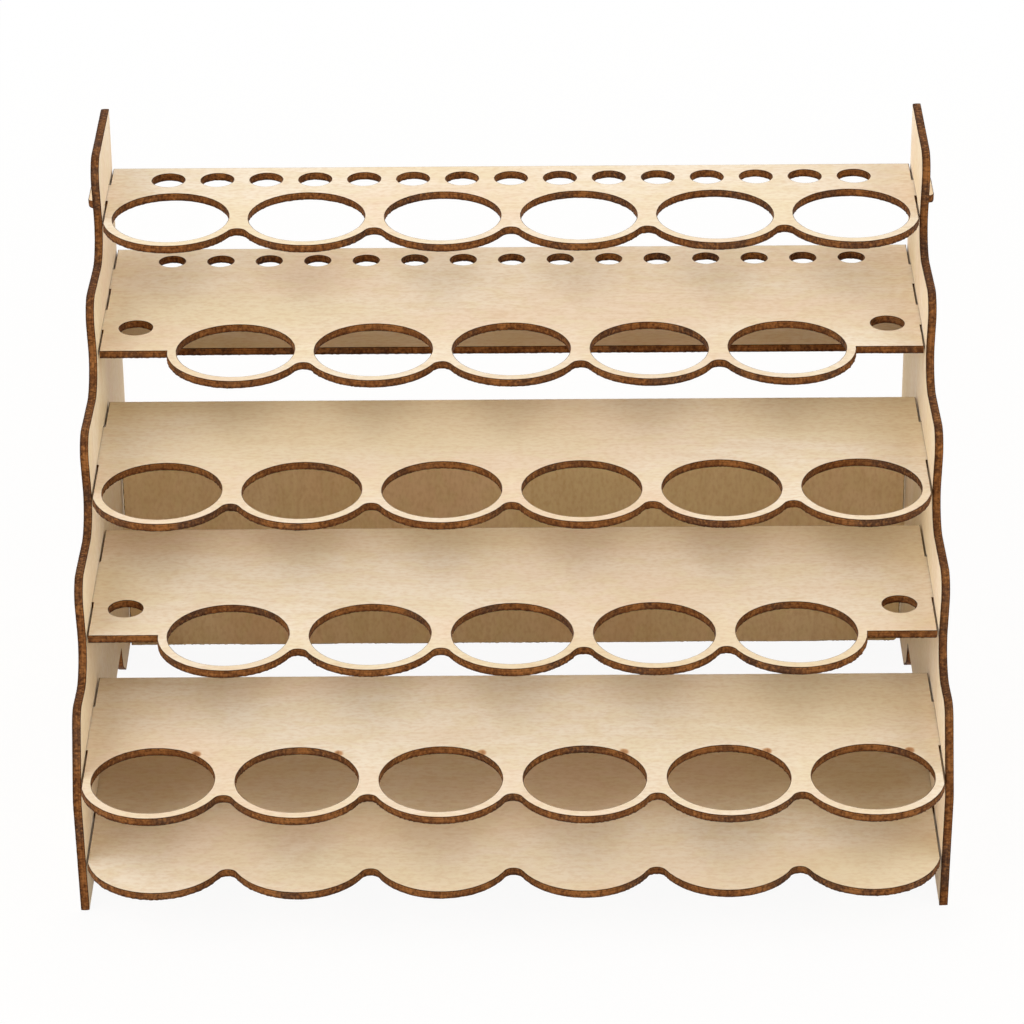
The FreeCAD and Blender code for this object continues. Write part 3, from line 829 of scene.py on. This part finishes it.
@dataclass
class LaserCutBoard:
    """One board of the rack, cut from a sheet.

    Attributes:
        node: The CAD node that it stands for.
        slot: The record's material slot of its sheet. It is not used.
        grain: Direction of the veneer's fibres.
        veneer: Finish of its faces.
        edge: Finish of its cut walls.
        seed: Seed of its irregularities.
        hole_row: Start of the names of its bottle holes in the record, if they are scorched.
        arris: Radius of the worn arris.
        rim: Width of the band beside the cut.
        step: Shortest distance between points along the outline, no less than the rim, so that
            the bands of two edges don't cross at a corner.
        stations: Depths of the wall's stations, as shares of the thickness.
        corner: Turn, in radians, past which the outline has a corner.
        sharp: Angle between two faces, in radians, past which their edge is drawn sharp.
        sheet_mm: How far from the middle of its pattern a board may be cut.
        wear: Wear of the wall.
    """

    node: str
    slot: PlySlot
    grain: Axis
    veneer: BasswoodVeneer
    edge: LaserCutEdge
    seed: int
    hole_row: str = ""
    arris: float = 0.18 * MM
    rim: float = 0.45 * MM
    step: float = 0.5 * MM
    stations: tuple[float, ...] = (0.3, 0.55, 0.8)
    corner: float = math.radians(20)
    sharp: float = math.radians(35)
    sheet_mm: float = 900.0
    wear: CutWear = CutWear()

    def profile(self, thickness: float) -> tuple[np.ndarray, np.ndarray]:
        """Stations of the wall's profile, from the rim of the upper face to that of the lower.

        Args:
            thickness: Thickness of the board.

        Returns:
            How far each station lies inside the outline, and its depth as a share of the
            thickness. An arris is a quarter turn in three steps.
        """
        turn = np.radians([0, 30, 60, 90])
        inset = self.arris * (1 - np.sin(turn))
        drop = self.arris * (1 - np.cos(turn)) / thickness
        wall = np.array(self.stations)
        insets = np.concatenate([[self.rim], inset, 0 * wall, inset[::-1], [self.rim]])
        depths = np.concatenate([[0], drop, wall, 1 - drop[::-1], [1]])
        return insets, depths

    def build(self) -> Object:
        """Builds the board's mesh, dresses it and lets it stand for its CAD node.

        Every point of the outline is carried through every station of the profile, as one grid.

        Returns:
            The board's object.
        """
        outline = CutOutline.of_node(self.node, self.step, self.corner)
        thickness = float(np.ptp([outline.lowest, outline.highest], axis=0)[outline.through])
        insets, depths = self.profile(thickness)
        count, stations = len(outline.points), len(insets)
        inset, depth = np.repeat(insets, count), np.repeat(depths, count)
        flat = np.tile(outline.points, (stations, 1))
        on_wall = inset < self.rim
        eaten = self.wear.eaten(outline.lift(flat, depth), depth, self.seed)
        inset = inset + on_wall * eaten.clip(0, self.rim - self.wear.spare * self.arris)
        flat = flat - np.tile(outline.normals, (stations, 1)) * inset[:, None]
        near = np.arange(count) + count * np.arange(stations - 1)[:, None]
        ahead = outline.following + count * np.arange(stations - 1)[:, None]
        walls = np.stack([near, near + count, ahead + count, ahead], axis=-1).reshape(-1, 4)
        upper = outline.fill(flat[:count])
        lower = upper[:, ::-1] + count * (stations - 1)
        mesh = bpy.data.meshes.new(self.node + "_ply")
        faces = walls.tolist() + upper.tolist() + lower.tolist()
        mesh.from_pydata(outline.lift(flat, depth).tolist(), [], faces)
        mesh.shade_smooth()
        mesh.set_sharp_from_angle(angle=self.sharp)
        self.mark(mesh, "depth", depth)
        self.mark(mesh, "rim", np.repeat(insets / self.rim, count))
        # Facing along the grain: fibre-end char, and on the tiers painted shade of sideways walls
        across = outline.in_plane.index(list(Axis).index(self.grain))
        self.mark(mesh, "fibre_end_char_and_shade", np.tile(np.abs(outline.normals[:, across]), stations))
        burnt = np.zeros(len(mesh.polygons), dtype=np.int32)
        burnt[count:len(walls) - count] = 1
        mesh.polygons.foreach_set("material_index", burnt)
        return self.dress(mesh, list(Axis)[outline.through])

    def mark(self, mesh: Mesh, name: str, values: np.ndarray) -> None:
        """Writes a value for each point, which the finishes read.

        Args:
            mesh: The board's mesh.
            name: Name of the attribute.
            values: Its values.
        """
        attribute = mesh.attributes.new(name, "FLOAT", "POINT")
        attribute.data.foreach_set("value", values.astype(np.float32))

    def pierce_marks(self) -> PierceMarks | None:
        """Scorched spots at the bottle holes that the record names for this board, if any."""
        mounts = frame["record"].get("mounts", [])
        holes = [mount["pos_m"] for mount in mounts if mount["name"].startswith(self.hole_row)]
        if not self.hole_row or len(holes) < 2:
            return None
        (x, y, _), (next_x, _, _) = sorted(holes)[:2]
        return PierceMarks((x / MM, y / MM), (next_x - x) / MM)

    def dress(self, mesh: Mesh, through: Axis) -> Object:
        """Gives a board its veneer and burnt walls, and its place in the frame.

        Args:
            mesh: The board's mesh.
            through: Direction of its thickness.

        Returns:
            The board's object.
        """
        source = np.random.default_rng(self.seed)
        shift = tuple(source.uniform(-self.sheet_mm, self.sheet_mm, 3).tolist())
        mesh.materials.append(self.veneer.build(self.grain, shift, self.pierce_marks()))
        mesh.materials.append(self.edge.build(through, shift))
        board = bpy.data.objects.new(self.node + "_ply", mesh)
        bpy.context.scene.collection.objects.link(board)
        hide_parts(self.node)
        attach(board, "root")
        return board


@dataclass
class SidePanels:
    """The two stepped side panels, whose grain stands upright."""

    names: tuple[str, str] = ("side_panel_left", "side_panel_right")
    veneer: BasswoodVeneer = BasswoodVeneer("peeled basswood veneer, panel")
    edge: LaserCutEdge = LaserCutEdge("laser-burnt ply edge, panel")
    seeds: tuple[int, int] = (11, 12)

    def build(self) -> list[Object]:
        """Builds both panels and returns their objects."""
        return [
            LaserCutBoard(name, PlySlot.PANEL, Axis.UP, self.veneer, self.edge, seed).build()
            for name, seed in zip(self.names, self.seeds)
        ]


@dataclass
class TierShelves:
    """The five tiers of ringed bottle holes, whose grain runs across the rack."""

    tiers: tuple[str, ...] = ("top", "second", "third", "fourth", "fifth")
    veneer: BasswoodVeneer = BasswoodVeneer("peeled basswood veneer, shelf")
    edge: LaserCutEdge = LaserCutEdge("laser-burnt ply edge, shelf")
    seeds: tuple[int, ...] = (21, 22, 23, 24, 25)
    scorched: str = "fifth"

    def build(self) -> list[Object]:
        """Builds the tiers from the top down, one of them scorched, and returns their objects."""
        boards = []
        for tier, seed in zip(self.tiers, self.seeds):
            row = f"bottle_hole_{tier}_" if tier == self.scorched else ""
            cut = (f"{tier}_tier_shelf", PlySlot.SHELF, Axis.ACROSS, self.veneer, self.edge)
            boards.append(LaserCutBoard(*cut, seed, hole_row=row).build())
        return boards


@dataclass
class LowerBoards:
    """The scalloped base, the strip that brushes stand on, and the upright back board."""

    veneer: BasswoodVeneer = BasswoodVeneer("peeled basswood veneer, lower boards")
    # Back board: warmer colours, partly its sheet's own tone and partly painted warm shade
    back_tone_and_shade_veneer: BasswoodVeneer = BasswoodVeneer(
        "peeled basswood veneer, honey tone and painted warm shade",
        cream="F5DDB4",
        rose="F1D1A8",
        straw="EDD8A6",
        late="D2A871",
    )
    edge: LaserCutEdge = LaserCutEdge("laser-burnt ply edge, lower boards")
    seeds: tuple[int, int, int] = (31, 32, 33)

    def build(self) -> list[Object]:
        """Builds the three boards and returns their objects."""
        boards = (
            ("base_shelf", PlySlot.SHELF, Axis.ACROSS, self.veneer),
            ("brush_floor_shelf", PlySlot.SHELF, Axis.ACROSS, self.veneer),
            ("back_board", PlySlot.BACK, Axis.UP, self.back_tone_and_shade_veneer),
        )
        return [
            LaserCutBoard(*board, self.edge, seed).build()
            for board, seed in zip(boards, self.seeds)
        ]


@dataclass(frozen=True)
class PhotoCamera:
    """The camera, placed where the photograph's perspective puts it.

    Attributes:
        eye_mm: Its place.
        yaw: Turn to the right, in degrees.
        pitch: Look down, in degrees.
        roll: Turn about the line of sight, in degrees.
        focal_px: Focal length in pixels of the frame.
        frame_px: Width of the frame in pixels.
        sensor_mm: Width of the sensor.
    """

    eye_mm: Place = (7.318, -1170.56, 718.74)
    yaw: float = -0.361
    pitch: float = 28.318
    roll: float = 0.528
    focal_px: float = 4497.45
    frame_px: float = 1024.0
    sensor_mm: float = 36.0

    def build(self) -> Object:
        """Makes the camera and sets it as the scene's. Returns its object."""
        yaw, pitch, roll = (math.radians(angle) for angle in (self.yaw, self.pitch, self.roll))
        ahead = math.cos(pitch)
        sight = Vector((math.sin(yaw) * ahead, math.cos(yaw) * ahead, -math.sin(pitch)))
        level = Vector((math.cos(yaw), -math.sin(yaw), 0.0))
        down = sight.cross(level)
        right = math.cos(roll) * level + math.sin(roll) * down
        up = math.sin(roll) * level - math.cos(roll) * down
        lens = bpy.data.cameras.new("photo_camera")
        lens.sensor_width = self.sensor_mm
        lens.lens = self.sensor_mm * self.focal_px / self.frame_px
        camera = bpy.data.objects.new("photo_camera", lens)
        bpy.context.scene.collection.objects.link(camera)
        place = Matrix((right, up, -sight)).transposed().to_4x4()
        place.translation = Vector(self.eye_mm) * MM
        camera.matrix_world = place
        bpy.context.scene.camera = camera
        return camera


@dataclass(frozen=True)
class SoftLamp:
    """A square studio lamp that looks at the rack.

    Attributes:
        name: Its name.
        place: Where it hangs.
        power: Its power in watts.
        target: What it looks at, about the middle of the rack.
        side: Length of its sides.
    """

    name: str
    place: Place
    power: float
    target: Place = (0.0, 0.0, 0.08)
    side: float = 2.0

    def build(self) -> None:
        """Hangs the lamp."""
        lamp = bpy.data.lights.new(self.name, "AREA")
        lamp.shape = "SQUARE"
        lamp.size = self.side
        lamp.energy = self.power
        holder = bpy.data.objects.new(self.name, lamp)
        bpy.context.scene.collection.objects.link(holder)
        way = Vector(self.target) - Vector(self.place)
        holder.rotation_euler = way.to_track_quat("-Z", "Y").to_euler()
        holder.location = self.place


@dataclass(frozen=True)
class Studio:
    """White studio: a pale floor, a little light all round and three wide soft lamps.

    Attributes:
        ambient: Brightness of the light all round.
        ambient_tint: Its colour, warmed by all the wood it has met.
        paper: Colour of the floor.
        paper_roughness: Its roughness, that of matt paper.
        paper_specular: Its specular level.
        floor_half: Half the floor's width.
        floor_white: How much of the floor's picture is plain white under the rack.
        floor_fade: How far from the rack's middle it starts to be whiter, and where it is white.
        lamps: The lamps.
    """

    ambient: float = 0.15
    ambient_tint: str = "FFDFBC"
    paper: str = "F2EDE4"
    paper_roughness: float = 0.9
    paper_specular: float = 0.1
    floor_half: float = 3.0
    floor_white: float = 0.93
    floor_fade: tuple[float, float] = (0.25, 0.7)
    lamps: tuple[SoftLamp, ...] = (
        SoftLamp("left_lamp", (-1.2, -0.5, 0.78), 27.5),
        SoftLamp("right_lamp", (1.2, -0.4, 0.7), 21.5),
        SoftLamp("rear_lamp", (0.0, 0.75, 1.15), 10.0),
    )

    def build(self) -> None:
        """Sets the floor, the lamps, the world, the camera and the view."""
        self.build_floor()
        self.build_world()
        for lamp in self.lamps:
            lamp.build()
        PhotoCamera().build()
        bpy.context.scene.view_settings.view_transform = "Standard"

    def seen_rays(self, tree: NodeTree) -> NodeSocket:
        """Adds a value that is 1 for camera, glossy and transmission rays. Returns its socket."""
        rays = add_node(tree, "LightPath").node.outputs
        first = (rays["Is Camera Ray"], rays["Is Glossy Ray"])
        seen = add_node(tree, "Math", first, operation="ADD")
        return add_node(tree, "Math", (seen, rays["Is Transmission Ray"]), operation="ADD")

    def build_floor(self) -> None:
        """Lays the floor, which keeps the rack's shadow under a share of plain white."""
        half = self.floor_half
        mesh = bpy.data.meshes.new("studio_floor")
        corners = [(-half, -half, 0.0), (half, -half, 0.0), (half, half, 0.0), (-half, half, 0.0)]
        mesh.from_pydata(corners, [], [(0, 1, 2, 3)])
        floor = bpy.data.objects.new("studio_floor", mesh)
        bpy.context.scene.collection.objects.link(floor)
        material, tree, shader = new_material("matt warm white paper floor")
        shader.inputs["Base Color"].default_value = linear(self.paper)
        shader.inputs["Roughness"].default_value = self.paper_roughness
        shader.inputs["Specular IOR Level"].default_value = self.paper_specular
        glow = add_node(tree, "Emission", (WHITE, 1.0))
        seen = self.seen_rays(tree)
        place = add_node(tree, "TexCoord").node.outputs["Object"]
        far = add_node(tree, "VectorMath", (place,), operation="LENGTH").node.outputs["Value"]
        fade = (far, *self.floor_fade, self.floor_white, 1.0)
        white = add_node(tree, "MapRange", fade, interpolation_type="SMOOTHSTEP")
        share = add_node(tree, "Math", (seen, white), operation="MULTIPLY")
        mixed = add_node(tree, "MixShader", (share, shader.outputs["BSDF"], glow))
        tree.links.new(mixed, tree.get_output_node("ALL").inputs["Surface"])
        mesh.materials.append(material)

    def build_world(self) -> None:
        """Lights the scene evenly all round and shows white where nothing stands."""
        world = bpy.data.worlds.new("studio_light")
        world.use_nodes = True
        tree = world.node_tree
        tree.nodes.clear()
        light = add_node(tree, "Background", (linear(self.ambient_tint), self.ambient))
        shown = add_node(tree, "Background", (WHITE, 1.0))
        mixed = add_node(tree, "MixShader", (self.seen_rays(tree), light, shown))
        add_node(tree, "OutputWorld", {"Surface": mixed})
        bpy.context.scene.world = world


def main() -> None:
    """Builds the sub-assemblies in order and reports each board."""
    logging.basicConfig(level=logging.INFO, format="%(name)s: %(message)s")
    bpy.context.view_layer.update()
    for assembly in (SidePanels(), TierShelves(), LowerBoards()):
        for board in assembly.build():
            board.data.calc_loop_triangles()
            LOG.info("%s: %d triangles", board.name, len(board.data.loop_triangles))
    Studio().build()
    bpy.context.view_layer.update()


if __name__ == "__main__":
    main()
